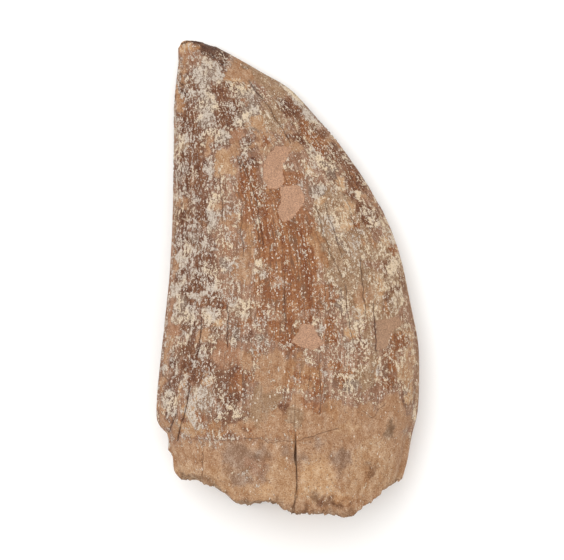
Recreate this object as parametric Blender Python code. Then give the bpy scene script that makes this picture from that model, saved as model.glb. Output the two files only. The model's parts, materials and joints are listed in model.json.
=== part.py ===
"""Fossil tooth of a large meat-eating dinosaur, lying on its tongue side with the cheek side up.

The tooth is one solid. It starts as a box whose faces are divided into a grid. The box is then warped:
across the box runs from the back cutting edge to the front one, along it from the broken root to the
tip, and through it from the tongue side to the cheek side. +X is the front edge, +Y the tip, +Z up.
"""

import bisect
import math

import bmesh
import bpy
from mathutils import Vector, noise

MM = 0.001

# Overall size of the tooth, in millimetres.
LENGTH = 100.0
WIDTH = 55.2
TIP_Y = LENGTH / 2
CHEEK_THICKNESS = 12.2
TONGUE_THICKNESS = 10.4

# The grid on the box: columns across, rows along, layers through.
COLUMNS = 33
ROWS = 52
LAYERS = 7

# The back cutting edge from root to tip, nearly straight, with the chipped corner near the root.
BACK_EDGE = (
    (-22.4, -41.9),
    (-24.0, -40.2),
    (-24.1, -37.2),
    (-25.3, -35.6),
    (-24.9, -33.1),
    (-26.9, -31.2),
    (-27.6, -29.2),
    (-27.2, -21.5),
    (-25.9, -9.5),
    (-24.7, 3.0),
    (-24.1, 20.0),
    (-23.9, 37.5),
    (-23.1, 45.0),
    (-23.2, 48.4),
)
# The front cutting edge from root to tip: a long bow that bends over to the tip.
FRONT_EDGE = (
    (24.1, -41.7),
    (25.2, -37.6),
    (26.2, -32.2),
    (27.5, -27.0),
    (27.6, -15.3),
    (26.2, -7.0),
    (23.8, 4.2),
    (20.8, 12.4),
    (16.2, 20.6),
    (10.3, 29.0),
    (6.8, 33.0),
    (2.8, 37.5),
    (-0.4, 40.6),
    (-5.0, 43.1),
    (-10.9, 46.6),
    (-15.1, 48.9),
)
# The torn end of the root, from the back edge to the front edge.
BREAK_LINE = (
    (-22.4, -41.9),
    (-21.5, -42.3),
    (-18.8, -42.5),
    (-16.8, -44.0),
    (-14.6, -44.6),
    (-12.2, -46.7),
    (-10.2, -48.4),
    (-7.0, -48.1),
    (-2.6, -47.8),
    (-1.4, -49.3),
    (0.8, -50.3),
    (3.0, -49.8),
    (4.6, -50.3),
    (9.0, -50.1),
    (12.6, -50.5),
    (15.2, -48.6),
    (18.6, -46.4),
    (20.4, -44.2),
    (22.3, -43.6),
    (22.8, -42.5),
)
# The worn tip stands out past the ends of the two edges, most near the back one: place across and height.
TIP_LINE = (
    (0.0, 0.0),
    (0.05, 1.2),
    (0.14, 1.6),
    (0.28, 1.6),
    (0.45, 1.4),
    (0.66, 1.0),
    (0.86, 0.35),
    (1.0, 0.0),
)
BREAK_REACH = 0.22  # share of the length over which the rows bend from the torn end to straight

# How the two edges round over, in millimetres: sharp on the crown, blunt on the root.
SHARP_EDGE = 0.35
FRONT_ROOT_EDGE = 1.7
BACK_ROOT_EDGE = 1.1
EDGE_ROUNDING = 0.8  # how far an edge bulges out, as a share of half its thickness
FRONT_BLUNT_FROM, BACK_BLUNT_FROM, ROOT_Y = -2.0, -26.0, -45.0

# Thickness along the tooth, as a share of the full thickness, from root to tip.
TAPER = (
    (-51.0, 0.95),
    (-36.0, 1.0),
    (-20.0, 0.97),
    (0.0, 0.83),
    (20.0, 0.62),
    (36.0, 0.40),
    (46.0, 0.24),
    (51.0, 0.12),
)

# The tongue side is bowed along its length, and lies on a small worn flat at its lowest place.
BELLY_BOW = 1.6
BELLY_Y = -12.0
REST_FLAT_DEPTH = 0.35
EDGE_TWIST = 1.0  # the back edge stands this much above the middle plane, and the front edge below it

# Long shallow flutes on both sides: place across (0 back edge, 1 front edge), width and depth in
# millimetres.
FLUTES = ((0.23, 1.3, 0.22), (0.40, 1.2, 0.28), (0.725, 1.6, 0.42), (0.85, 1.3, 0.34))

# Flakes that have split off the cheek side: centre x, y, half sizes and turn in degrees, and depth.
FLAKE_SCARS = (
    (-2.9, 21.5, 2.9, 5.0, -18.0, 0.50),
    (1.0, 14.6, 3.0, 4.0, -10.0, 0.55),
    (4.1, -12.6, 3.8, 3.0, 0.0, 0.50),
    (21.2, -11.6, 3.0, 4.2, -25.0, 0.42),
    (-7.0, 40.5, 6.0, 2.6, -33.0, 0.35),
    (16.0, -33.0, 7.0, 4.5, 12.0, 0.35),
)
FLAKE_DEPTH_EDGE = 0.25  # share of a scar's size over which its wall rises

# The enamel ends in a low step; below it the bare root lies a little deeper.
ENAMEL_END_Y = -33.8
ENAMEL_STEP = 0.32
ENAMEL_STEP_WIDTH = 1.4

# The split that runs up the root from the torn end, and the hole that has opened on it.
SPLIT_PATH = (
    (1.5, -31.0),
    (1.7, -35.2),
    (1.5, -37.0),
    (1.9, -40.5),
    (1.9, -44.7),
    (1.2, -47.8),
    (0.6, -50.5),
)
SPLIT_PLACE = 0.525
SPLIT_HALF_WIDTH = 0.06
SPLIT_DEPTH = 0.35
HOLE_Y, HOLE_HALF_LENGTH, HOLE_EXTRA_WIDTH, HOLE_EXTRA_DEPTH = -36.9, 1.25, 0.26, 2.4

# The hollow root: a core of sand sits lower than the wall around it on the torn end.
PULP_HALF_WIDTH, PULP_HALF_HEIGHT, PULP_DEPTH = 0.30, 0.42, 2.0
TORN_ROUGHNESS = 1.7
CHEEK_SETBACK = 1.3

LUMPS = ((13.0, 0.30), (5.0, 0.14))  # size and height of the uneven surface
TOOTH_COLOUR = (0.40, 0.24, 0.13, 1.0)


def mix(a, b, share):
    return a + (b - a) * share


def ease(share):
    """0 to 1 with a soft start and end."""
    share = min(1.0, max(0.0, share))
    return share * share * (3 - 2 * share)


def bell(distance, width):
    return math.exp(-((distance / width) ** 2))


def between(p0, p1, p2, p3, t):
    """A number on the smooth curve from p1 to p2, at share t of the way."""
    bend = 2 * p0 - 5 * p1 + 4 * p2 - p3
    turn = 3 * (p1 - p2) + p3 - p0
    return (2 * p1 + (p2 - p0) * t + bend * t**2 + turn * t**3) / 2


def smooth_path(points, samples=12):
    """Points along a soft curve through the given ones."""
    found = []
    for i in range(len(points) - 1):
        before, start = points[max(i - 1, 0)], points[i]
        end, after = points[i + 1], points[min(i + 2, len(points) - 1)]
        for k in range(samples):
            t = k / samples
            found.append(Vector(between(*numbers, t) for numbers in zip(before, start, end, after)))
    found.append(Vector(points[-1]))
    return found


class Path:
    """A line that can be asked for its point at a share of its length."""

    def __init__(self, points):
        self.points = points
        self.reach = [0.0]
        for a, b in zip(points, points[1:]):
            self.reach.append(self.reach[-1] + (b - a).length)

    def at(self, share):
        wanted = min(1.0, max(0.0, share)) * self.reach[-1]
        i = min(max(bisect.bisect_left(self.reach, wanted), 1), len(self.reach) - 1)
        span = self.reach[i] - self.reach[i - 1]
        return self.points[i - 1].lerp(self.points[i], (wanted - self.reach[i - 1]) / span)


def value_at(table, place):
    """Straight-line value between the rows of a table of (place, value), with rising places."""
    if place <= table[0][0]:
        return table[0][1]
    for (p0, v0), (p1, v1) in zip(table, table[1:]):
        if place <= p1:
            return mix(v0, v1, (place - p0) / (p1 - p0))
    return table[-1][1]


BACK = Path(smooth_path(BACK_EDGE))
FRONT = Path(smooth_path(FRONT_EDGE))
SPLIT_BY_Y = sorted((y, x) for x, y in SPLIT_PATH)
TAPER_CURVE = smooth_path(TAPER)
TIP_CURVE = smooth_path(TIP_LINE)


def columns():
    """Places across the tooth from 0 to 1, closer together at the edges, with three at the split."""
    regular = COLUMNS - 2
    places = []
    for k in range(regular + 1):
        even = k / regular
        places.append(mix(even, (1 - math.cos(math.pi * even)) / 2, 0.55))
    nearest = min(places[1:-1], key=lambda p: abs(p - SPLIT_PLACE))
    places.remove(nearest)
    gap = SPLIT_HALF_WIDTH / WIDTH
    return sorted(places + [SPLIT_PLACE - gap, SPLIT_PLACE, SPLIT_PLACE + gap])


COLUMN_PLACES = columns()
SPLIT_COLUMN = COLUMN_PLACES.index(SPLIT_PLACE)


def edge_bluntness(across, y):
    """Half the thickness of the cutting edge that is nearer."""
    if across > 0.5:
        return mix(SHARP_EDGE, FRONT_ROOT_EDGE, ease((FRONT_BLUNT_FROM - y) / (FRONT_BLUNT_FROM - ROOT_Y)))
    return mix(SHARP_EDGE, BACK_ROOT_EDGE, ease((BACK_BLUNT_FROM - y) / (BACK_BLUNT_FROM - ROOT_Y)))


def swell(across, y, side):
    """The lens shape of the cross-section, 0 at the edges and 1 at the middle. A higher power is leaner."""
    crown = ease((y - ROOT_Y) / 40.0)
    back_power, front_power = mix(0.66, 0.92, crown), mix(0.54, 0.78, crown)
    power = mix(back_power, front_power, ease(across)) + (0.12 if side < 0 else 0.0)
    return (4 * across * (1 - across)) ** power if 0 < across < 1 else 0.0


def torn_end_y(across, through):
    """Where the root ends, for a place across and through the tooth."""
    x = mix(
        BACK_EDGE[0][0] + EDGE_ROUNDING * BACK_ROOT_EDGE,
        FRONT_EDGE[0][0] - EDGE_ROUNDING * FRONT_ROOT_EDGE,
        across,
    )
    y = value_at(BREAK_LINE, x)
    cheek = ease((through - 0.2) / 0.8) * CHEEK_SETBACK * bell(across - 0.38, 0.28)
    tongue = ease((-through - 0.3) / 0.7) * CHEEK_SETBACK * bell(across - 0.75, 0.2)
    inside = ease(1.3 * (1 - math.hypot((across - 0.5) / PULP_HALF_WIDTH, through / PULP_HALF_HEIGHT)))
    rough = (0.45 + noise.noise(Vector((across * 14, through * 3.1, 4.0)))) * (1 - through * through)
    corner = ease(across / 0.12) * ease((1 - across) / 0.12)
    return y + corner * (cheek + tongue + inside * PULP_DEPTH + rough * TORN_ROUGHNESS)


def flake(x, y):
    """How deep the surface is cut by flakes that have split off."""
    deepest = 0.0
    for cx, cy, half_x, half_y, turn, depth in FLAKE_SCARS:
        a = math.radians(turn)
        dx, dy = x - cx, y - cy
        along, up = dx * math.cos(a) + dy * math.sin(a), dy * math.cos(a) - dx * math.sin(a)
        inside = 1 - math.hypot(along / half_x, up / half_y)
        deepest = max(deepest, depth * ease(inside / FLAKE_DEPTH_EDGE + 0.5))
    return deepest


def relief(across, x, y, side):
    """Height of the low relief over the plain lens shape, in millimetres."""
    height = 0.0
    for size, amount in LUMPS:
        height += amount * noise.noise(Vector((x / size, y / size, 7.3 * side)))
    crown = ease((y + 42.0) / 14.0)
    width = FRONT.at((y + TIP_Y) / LENGTH).x - BACK.at((y + TIP_Y) / LENGTH).x
    for place, half_width, depth in FLUTES:
        height -= depth * crown * bell((across - place) * width, half_width)
    height -= ENAMEL_STEP * ease((ENAMEL_END_Y - y) / ENAMEL_STEP_WIDTH + 0.5)
    if side > 0:
        height -= flake(x, y)
    return height * ease(across / 0.05) * ease((1 - across) / 0.05)


def split_depth(y):
    opening = ease((SPLIT_PATH[0][1] - y) / 3.0)
    hole = bell(y - HOLE_Y, HOLE_HALF_LENGTH)
    return opening * (SPLIT_DEPTH + HOLE_EXTRA_DEPTH * hole)


def split_shift(column, x, y):
    """Moves the three columns at the split onto its path, with the lips this far apart."""
    if abs(column - SPLIT_COLUMN) > 1 or y > SPLIT_PATH[0][1]:
        return x
    lip = SPLIT_HALF_WIDTH + HOLE_EXTRA_WIDTH * bell(y - HOLE_Y, HOLE_HALF_LENGTH)
    target = value_at(SPLIT_BY_Y, y) + (column - SPLIT_COLUMN) * lip
    return mix(x, target, ease((SPLIT_PATH[0][1] - y) / 2.0))


def tooth_point(column, row, layer):
    """The place in millimetres of a grid point of the box."""
    across, along, through = COLUMN_PLACES[column], row / ROWS, 2 * layer / LAYERS - 1
    back, front = BACK.at(along), FRONT.at(along)
    back.x += edge_bluntness(0, back.y) * EDGE_ROUNDING
    front.x -= edge_bluntness(1, front.y) * EDGE_ROUNDING
    place = back.lerp(front, across)
    bend = ease(1 - along / BREAK_REACH)
    place.y += bend * (torn_end_y(across, through) - BREAK_LINE[0][1])
    place.y += value_at(TIP_CURVE, across) * ease((along - 0.93) / 0.07)
    x, y = place

    blunt = mix(edge_bluntness(0, y), edge_bluntness(1, y), across)
    taper = value_at(TAPER_CURVE, y)
    side = 1 if through > 0 else -1
    full = CHEEK_THICKNESS if side > 0 else TONGUE_THICKNESS
    thickness = blunt + full * taper * swell(across, y, side) + relief(across, x, y, side)
    bow = BELLY_BOW * ((y - BELLY_Y) / TIP_Y) ** 2
    middle = TONGUE_THICKNESS * taper + SHARP_EDGE - REST_FLAT_DEPTH + bow + EDGE_TWIST * (1 - 2 * across)

    if column in (0, COLUMNS):
        outward = -1 if column == 0 else 1
        x += outward * edge_bluntness(across, y) * EDGE_ROUNDING * math.sqrt(1 - through * through)
    if abs(through) == 1:
        x = split_shift(column, x, y)
    z = middle + thickness * through
    if through == 1 and column == SPLIT_COLUMN:
        z -= split_depth(y)
    return Vector((x, y, max(z, 0.0)))


def grid_box():
    """A closed box, two units wide, whose faces carry the grid."""
    box = bmesh.new()
    bmesh.ops.create_cube(box, size=2.0)
    for axis, pieces in enumerate((COLUMNS, ROWS, LAYERS)):
        running = [e for e in box.edges if abs(e.verts[0].co[axis] - e.verts[1].co[axis]) > 1.9]
        bmesh.ops.subdivide_edges(box, edges=running, cuts=pieces - 1, use_grid_fill=True)
    return box


def make_tooth():
    box = grid_box()
    for vertex in box.verts:
        column, row, layer = (
            round((vertex.co[axis] + 1) / 2 * pieces) for axis, pieces in enumerate((COLUMNS, ROWS, LAYERS))
        )
        vertex.co = tooth_point(column, row, layer) * MM
    low = Vector(min(v.co[i] for v in box.verts) for i in range(3))
    high = Vector(max(v.co[i] for v in box.verts) for i in range(3))
    to_origin = Vector((-(low.x + high.x) / 2, -(low.y + high.y) / 2, -low.z))
    bmesh.ops.translate(box, verts=box.verts, vec=to_origin)
    bmesh.ops.recalc_face_normals(box, faces=box.faces)
    mesh = bpy.data.meshes.new("tooth")
    box.to_mesh(mesh)
    box.free()
    mesh.shade_smooth()
    mesh.set_sharp_from_angle(angle=math.radians(50))
    tooth = bpy.data.objects.new("tooth", mesh)
    bpy.context.scene.collection.objects.link(tooth)
    return tooth


def stained_enamel():
    material = bpy.data.materials.new("stained_enamel")
    material.use_nodes = True
    shader = material.node_tree.nodes["Principled BSDF"]
    shader.inputs["Base Color"].default_value = TOOTH_COLOUR
    shader.inputs["Roughness"].default_value = 0.6
    shader.inputs["Metallic"].default_value = 0.0
    return material


for left_over in list(bpy.data.objects):
    bpy.data.objects.remove(left_over)
make_tooth().data.materials.append(stained_enamel())
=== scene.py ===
"""A fossil tooth of a large meat-eating dinosaur, lying on its tongue side with the cheek side up.

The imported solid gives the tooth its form. This file puts a finer skin over that form, with the pits, cracks
and colours of old enamel, and sets it on a pale floor under soft light. +X is the front cutting edge, +Y the
tip, +Z up. Lengths in the lists are in millimetres.
"""

import json
import math

import bmesh
import bpy
import numpy as np
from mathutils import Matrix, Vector, noise

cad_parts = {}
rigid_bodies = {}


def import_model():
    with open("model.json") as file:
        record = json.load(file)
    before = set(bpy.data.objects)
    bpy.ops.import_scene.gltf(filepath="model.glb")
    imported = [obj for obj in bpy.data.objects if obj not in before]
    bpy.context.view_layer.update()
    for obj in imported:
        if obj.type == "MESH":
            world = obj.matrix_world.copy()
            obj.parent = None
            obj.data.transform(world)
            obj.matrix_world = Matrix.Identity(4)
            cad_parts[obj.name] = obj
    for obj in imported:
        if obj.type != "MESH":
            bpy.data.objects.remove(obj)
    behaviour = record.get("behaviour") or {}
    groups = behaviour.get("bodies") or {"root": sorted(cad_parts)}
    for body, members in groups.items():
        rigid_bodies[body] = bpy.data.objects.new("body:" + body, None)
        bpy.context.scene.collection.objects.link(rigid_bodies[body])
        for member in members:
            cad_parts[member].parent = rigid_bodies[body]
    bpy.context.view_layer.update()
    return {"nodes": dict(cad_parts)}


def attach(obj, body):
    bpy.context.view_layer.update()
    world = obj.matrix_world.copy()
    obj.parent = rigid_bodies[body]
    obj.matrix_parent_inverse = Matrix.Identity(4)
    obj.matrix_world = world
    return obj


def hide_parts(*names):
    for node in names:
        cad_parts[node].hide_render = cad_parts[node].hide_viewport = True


for left_over in list(bpy.data.objects):
    bpy.data.objects.remove(left_over)
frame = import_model()

# -----------------------------------------------------------------------------------------------------------
# The tooth, as a form: one blade of enamel over dentine, grown in one piece and turned to stone. The packed
# solid is copied, its loose triangles are joined, and it is refined until the finest crack has room to bend.
MM = 0.001
LONGEST_EDGE = 2.8
CREASE_ANGLE = 35.0  # degrees, past which an edge of the form counts as a rim
BREAK_CREASE = 0.9  # how sharp the rims of the break and the two cutting edges stay when the skin is rounded
CHEEK_FACING = 0.20  # how far a place has to face up to be cut closer
CHEEK_CUTS = 2  # the visible side has a vertex about every 0.3 mm
EVEN_FACING, EVEN_ANGLE = 0.15, 0.4  # where the closer skin is evened out: facing up, and bent less than this

skin = bmesh.new()
skin.from_mesh(frame["nodes"]["tooth"].data)
bmesh.ops.remove_doubles(skin, verts=skin.verts, dist=1e-6)
bmesh.ops.join_triangles(
    skin, faces=skin.faces, angle_face_threshold=math.radians(60), angle_shape_threshold=math.radians(80)
)
for _ in range(3):
    long_edges = [e for e in skin.edges if e.calc_length() > LONGEST_EDGE * MM]
    bmesh.ops.subdivide_edges(skin, edges=long_edges, cuts=1, use_grid_fill=True)
bmesh.ops.triangulate(skin, faces=[f for f in skin.faces if len(f.verts) > 4])
crease = skin.edges.layers.float.new("crease_edge")
for edge in skin.edges:
    if edge.calc_face_angle(0) > math.radians(CREASE_ANGLE):
        edge[crease] = BREAK_CREASE
form = bpy.data.meshes.new("tooth_form")
skin.to_mesh(form)
skin.free()
tooth = bpy.data.objects.new("fossil_tooth", form)
bpy.context.scene.collection.objects.link(tooth)
rounding = tooth.modifiers.new("rounding", "SUBSURF")
rounding.levels = 1
rounding.render_levels = 1
depsgraph = bpy.context.evaluated_depsgraph_get()
rounded = bpy.data.meshes.new_from_object(tooth.evaluated_get(depsgraph))
tooth.modifiers.clear()

skin = bmesh.new()
skin.from_mesh(rounded)
skin.normal_update()
cheek_edges = [e for e in skin.edges if all(v.normal.z > CHEEK_FACING for v in e.verts)]
bmesh.ops.subdivide_edges(skin, edges=cheek_edges, cuts=CHEEK_CUTS, use_grid_fill=True)
bmesh.ops.triangulate(skin, faces=[f for f in skin.faces if len(f.verts) > 4])
skin.normal_update()
even = [
    v
    for v in skin.verts
    if v.normal.z > EVEN_FACING and all(e.calc_face_angle(0) < EVEN_ANGLE for e in v.link_edges)
]
for _ in range(2):
    bmesh.ops.smooth_vert(skin, verts=even, factor=0.5, use_axis_x=True, use_axis_y=True, use_axis_z=True)

# The denticles are too fine for the skin so far, so the skin is cut closer along the edges where they are
# left. They are worn off everywhere else.
DENTICLE = 0.53  # length of one, as is usual on large teeth of this kind
DENTICLE_HEIGHT = 0.13
DENTICLE_REACH = 0.6  # how far in from the edge the skin is cut closer
DENTICLE_STRETCHES = (("front", 8.0, 43.0), ("back", 14.0, 44.0))

# The two cutting edges, as places across and up at each level of the blade.
HALF_LENGTH, LEVEL_STEP = 50.0, 0.5
EDGE_BAND = 0.2
places = np.array([v.co for v in skin.verts]) / MM
levels = np.arange(-HALF_LENGTH, HALF_LENGTH + LEVEL_STEP, LEVEL_STEP)
rows = np.clip(np.round((places[:, 1] + HALF_LENGTH) / LEVEL_STEP).astype(int), 0, len(levels) - 1)
back_x, front_x, back_z, front_z = (np.full(len(levels), np.nan) for _ in range(4))
for row in range(len(levels)):
    here = places[rows == row]
    if len(here):
        back_x[row], front_x[row] = here[:, 0].min(), here[:, 0].max()
        back_z[row] = here[here[:, 0] < back_x[row] + EDGE_BAND, 2].mean()
        front_z[row] = here[here[:, 0] > front_x[row] - EDGE_BAND, 2].mean()
known = ~np.isnan(back_x)
back_x, front_x, back_z, front_z = (
    np.interp(levels, levels[known], line[known]) for line in (back_x, front_x, back_z, front_z)
)


def edge_line(y, values):
    """Where a cutting edge runs at height y."""
    return np.interp(y, levels, values)


def has_denticles(vertex):
    """Whether a vertex lies beside a stretch of cutting edge that has kept its denticles."""
    x, y, _ = vertex.co / MM
    return any(
        low < y < high and abs(x - edge_line(y, front_x if side == "front" else back_x)) < DENTICLE_REACH
        for side, low, high in DENTICLE_STRETCHES
    )


close_edges = [e for e in skin.edges if all(has_denticles(v) for v in e.verts)]
bmesh.ops.subdivide_edges(skin, edges=close_edges, cuts=1, use_grid_fill=True)
bmesh.ops.triangulate(skin, faces=[f for f in skin.faces if len(f.verts) > 4])
skin.normal_update()


def ease(low, high, value):
    """0 below low, 1 above high, with a soft start and end. Works on arrays."""
    share = np.clip((value - low) / (high - low), 0.0, 1.0)
    return share * share * (3 - 2 * share)


# -----------------------------------------------------------------------------------------------------------
# The relief of the tooth: what a fingertip finds. Low lumps and long ridges on the enamel, grains of sand on
# the bare root, the walls of the places where enamel has flaked off, the cracks, and the torn grain of the
# break.
FLAKED = (
    ((-2.5, 27.5), (0.0, 27.7), (0.9, 27.3), (0.0, 25.6), (-1.0, 24.1), (-1.0, 20.6), (-1.2, 19.3),
     (-2.3, 18.3), (-4.2, 18.5), (-5.0, 20.6), (-5.4, 22.0), (-4.8, 24.1), (-4.0, 26.2)),
    ((-1.7, 18.9), (0.6, 19.3), (2.3, 19.1), (3.5, 17.0), (3.1, 15.3), (1.7, 13.6), (0.4, 11.9), (-0.7, 11.4),
     (-1.6, 12.4), (-1.9, 13.9), (-1.7, 16.4)),
    ((2.5, -10.0), (4.2, -9.5), (5.4, -10.0), (6.3, -11.8), (7.6, -13.7), (6.9, -14.2), (5.2, -15.0),
     (2.9, -14.4), (0.7, -13.5), (1.7, -11.8)),
    ((18.5, -8.9), (22.9, -8.1), (24.2, -9.5), (22.1, -11.8), (20.4, -15.0), (18.3, -15.0)),
)
FLAKED_DEPTH = 0.16

# The split up the root is in the form already, and only darkened here, at this half width.
SPLIT = (
    (1.5, -30.2), (1.6, -34.4), (1.45, -37.1), (1.77, -39.9), (1.84, -42.4), (1.78, -45.0), (1.27, -47.2),
    (0.8, -50.3),
)
SPLIT_DARK = 0.05

# Open cracks, hairline cracks and dark striations, each a line of points with its half width and its depth.
# One line of no depth is painted shade along the tip's top rim.
CRACKS = (
    ((-20.5, -23.0), (-20.8, -25.2), (-21.6, -28.0), (-22.3, -30.2), (-23.0, -32.6), (-23.3, -34.0),
     0.13, 0.30),
    ((-23.5, -28.5), (-24.2, -30.0), (-24.9, -32.4), 0.13, 0.25),
    ((-26.8, -17.8), (-26.4, -20.0), (-25.2, -21.8), (-24.3, -24.0), 0.08, 0.14),
    ((1.3, -22.0), (1.4, -26.0), (1.3, -31.5), 0.05, 0.06),
    ((-0.6, -11.5), (-0.5, -14.2), (-0.6, -17.8), 0.05, 0.06),
    ((6.4, -13.4), (6.3, -17.0), (6.7, -21.0), (6.5, -24.8), 0.06, 0.08),
    ((19.1, -17.6), (18.9, -20.4), 0.06, 0.08),
    ((-21.2, -33.6), (-17.0, -33.7), (-12.5, -33.9), (-8.8, -33.6), 0.05, 0.06),
    ((-8.8, -33.6), (-6.0, -33.1), (-4.9, -33.7), (-4.0, -34.4), (0.0, -33.9), (2.6, -33.8), 0.07, 0.10),
    ((2.6, -33.8), (3.5, -33.3), (5.0, -33.2), (6.5, -32.6), (9.0, -31.9), (10.5, -31.5), 0.08, 0.12),
    ((15.6, -27.8), (17.3, -29.2), (18.3, -28.6), (19.5, -27.2), (20.6, -26.0), 0.07, 0.08),
    ((-18.2, -8.2), (-18.3, -11.0), (-18.7, -14.0), (-19.1, -16.2), 0.13, 0.16),
    ((-12.7, -5.5), (-12.5, -8.6), (-12.6, -11.8), (-12.5, -14.6), 0.13, 0.16),
    ((-13.2, -15.6), (-13.3, -19.2), 0.07, 0.08),
    ((-10.7, 25.4), (-10.3, 23.9), (-9.9, 22.2), 0.10, 0.12),
    ((-17.7, -36.6), (-17.9, -38.4), (-18.0, -41.2), 0.08, 0.10),
    ((17.9, -5.4), (18.1, -7.4), (18.1, -9.0), (18.2, -12.0), (18.6, -15.2), 0.12, 0.14),
    ((-8.1, 41.4), (-6.6, 39.2), (-5.1, 37.6), 0.12, 0.20),
    ((-5.1, 37.6), (-3.2, 34.2), (-1.2, 31.0), (0.5, 28.3), 0.09, 0.20),
    ((-15.4, 10.6), (-15.2, 5.2), 0.07, 0.08),
    ((-13.3, 10.2), (-13.0, 7.4), 0.07, 0.08),
    ((-11.0, 10.4), (-10.8, 4.8), 0.06, 0.06),
    ((-7.4, 14.0), (-6.4, 9.6), (-5.3, 6.0), 0.08, 0.10),
    ((13.9, -13.0), (14.0, -15.8), 0.06, 0.06),
    # painted shade: a dark line of no depth along the tip's top rim, where the edge turns away from the
    # light.
    ((-22.4, 49.3), (-21.0, 49.8), (-18.9, 49.6), (-15.8, 49.1), 0.24, 0.00),
    ((-10.0, 25.2), (-8.3, 21.5), (-6.9, 16.6), (-6.0, 12.3), (-5.1, 6.7), 0.10, 0.12),
    ((-9.7, 14.6), (-9.6, 9.2), (-9.2, 4.6), 0.09, 0.10),
    ((5.7, 15.3), (7.2, 10.4), (9.0, 4.9), (11.2, 0.0), 0.09, 0.12),
    ((3.2, 12.9), (5.7, 9.2), (8.1, 4.3), 0.06, 0.08),
    ((7.8, 15.6), (9.9, 9.2), (11.2, 4.3), 0.09, 0.10),
    ((11.8, -1.4), (13.0, -10.6), (13.6, -12.8), 0.10, 0.12),
    ((-0.5, 1.6), (-0.8, -6.3), (-0.6, -10.8), 0.10, 0.10),
    ((-7.7, -11.8), (-7.6, -17.8), 0.06, 0.06),
    ((9.8, 22.0), (12.6, 15.6), (14.0, 11.0), 0.08, 0.10),
    ((15.0, 4.0), (15.8, -3.0), (16.2, -8.0), 0.10, 0.10),
    ((-14.4, 22.0), (-13.8, 15.0), (-13.6, 12.0), 0.10, 0.08),
)
RIM_LOBES = ((1.3, 0.55), (0.6, 0.30))  # width of the lobes along the torn rim, and depth of the notches
RIM_STRIP = 0.6  # the rim's lowest place is found in strips this wide
RAGGED = ((3.4, 1.5), (1.5, 1.1), (0.7, 0.6))  # how far the rims of the stains stray, for three sizes of bump
BLADE_WIDTH = 46.0  # the ridges and growth streaks are spread over this width at every level
ENAMEL_STEP = 0.10  # the root lies this much below the foot of the enamel

# Bumps, each size with its height, its width and a seed: over the whole tooth, on the enamel, on the root, on
# the torn break and at its rim.
LUMPS = ((0.16, 7.0, 0.0), (0.07, 2.6, 4.0))
ENAMEL_GRAIN = ((0.02, 0.8, 8.0),)
ROOT_GRAIN = ((0.10, 1.6, 9.0), (0.07, 0.75, 13.0))
TORN_LUMPS, TORN_SUNK = ((0.6, 2.2, 17.0), (0.55, 0.9, 19.0)), 0.35
RIM_GRAIN, RIM_SUNK = ((0.25, 0.9, 33.0),), 0.1
RIDGE_HEIGHT = 0.07


def wander(points, size, shift=0.0):
    """A soft random height for each point, between -1 and 1, with bumps this many millimetres wide."""
    return np.array([noise.noise((x / size, y / size, z / size + shift)) for x, y, z in points])


def wander_aside(points, size, shift):
    """A soft random step across and along for each point."""
    return np.stack((wander(points, size, shift), wander(points, size, shift + 50.0)), axis=1)


def bumps(points, layers):
    """Several sizes of bump laid over each other."""
    return sum(high * wander(points, size, seed) for high, size, seed in layers)


def inside(points, outline):
    """Distance in from an outline: above 0 within it and below 0 outside."""
    nearest = np.full(len(points), 1e9)
    within = np.zeros(len(points), bool)
    for a, b in zip(outline, outline[1:] + outline[:1]):
        a, b = np.array(a), np.array(b)
        along = np.clip(((points - a) @ (b - a)) / ((b - a) @ (b - a)), 0.0, 1.0)
        nearest = np.minimum(nearest, np.hypot(*(points - a - along[:, None] * (b - a)).T))
        crosses = (a[1] > points[:, 1]) != (b[1] > points[:, 1])
        meets_x = a[0] + (points[:, 1] - a[1]) * (b[0] - a[0]) / (b[1] - a[1] if b[1] != a[1] else 1e-9)
        within ^= crosses & (points[:, 0] < meets_x)
    return np.where(within, nearest, -nearest)


def way_to(points, line):
    """The step from each point to the nearest place on a line."""
    best = np.full((len(points), 2), 1e3)
    for a, b in zip(line, line[1:]):
        a, b = np.array(a), np.array(b)
        along = np.clip(((points - a) @ (b - a)) / ((b - a) @ (b - a)), 0.0, 1.0)
        step = a + along[:, None] * (b - a) - points
        closer = np.hypot(*step.T) < np.hypot(*best.T)
        best[closer] = step[closer]
    return best


places = np.array([v.co for v in skin.verts]) / MM
normals = np.array([v.normal for v in skin.verts])
x, y, z = places.T
share = np.clip((x - edge_line(y, back_x)) / (edge_line(y, front_x) - edge_line(y, back_x)), 0.0, 1.0)
middle = edge_line(y, back_z) * (1 - share) + edge_line(y, front_z) * share
cheek = ease(-1.2, 1.2, z - middle)
torn_reach = ease(-36.0, -40.0, y)
torn = ease(0.35, 0.75, -normals[:, 1]) * torn_reach
grain = np.stack((share * BLADE_WIDTH, y, z), axis=1)

# Past the cheek side the marks are looked up from a place that wanders off, so the hidden side has its own.
# The marks' rims stray a good way, and the cracks only a little.
aside = wander_aside(places, 16.0, 3.0) * 9.0
jitter = sum(wander_aside(places, size, 11.0 + size) * reach for size, reach in RAGGED)
spots = places[:, :2] + jitter + aside * (1 - cheek)[:, None]
lines_at = places[:, :2] + wander_aside(places, 2.6, 21.0) * 0.40 + wander_aside(places, 0.8, 25.0) * 0.18

flaked = np.full(len(places), -9.0)
for outline in FLAKED:
    flaked = np.maximum(flaked, inside(lines_at, outline))
flaked = np.where(cheek > 0.6, flaked, -9.0)

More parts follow.
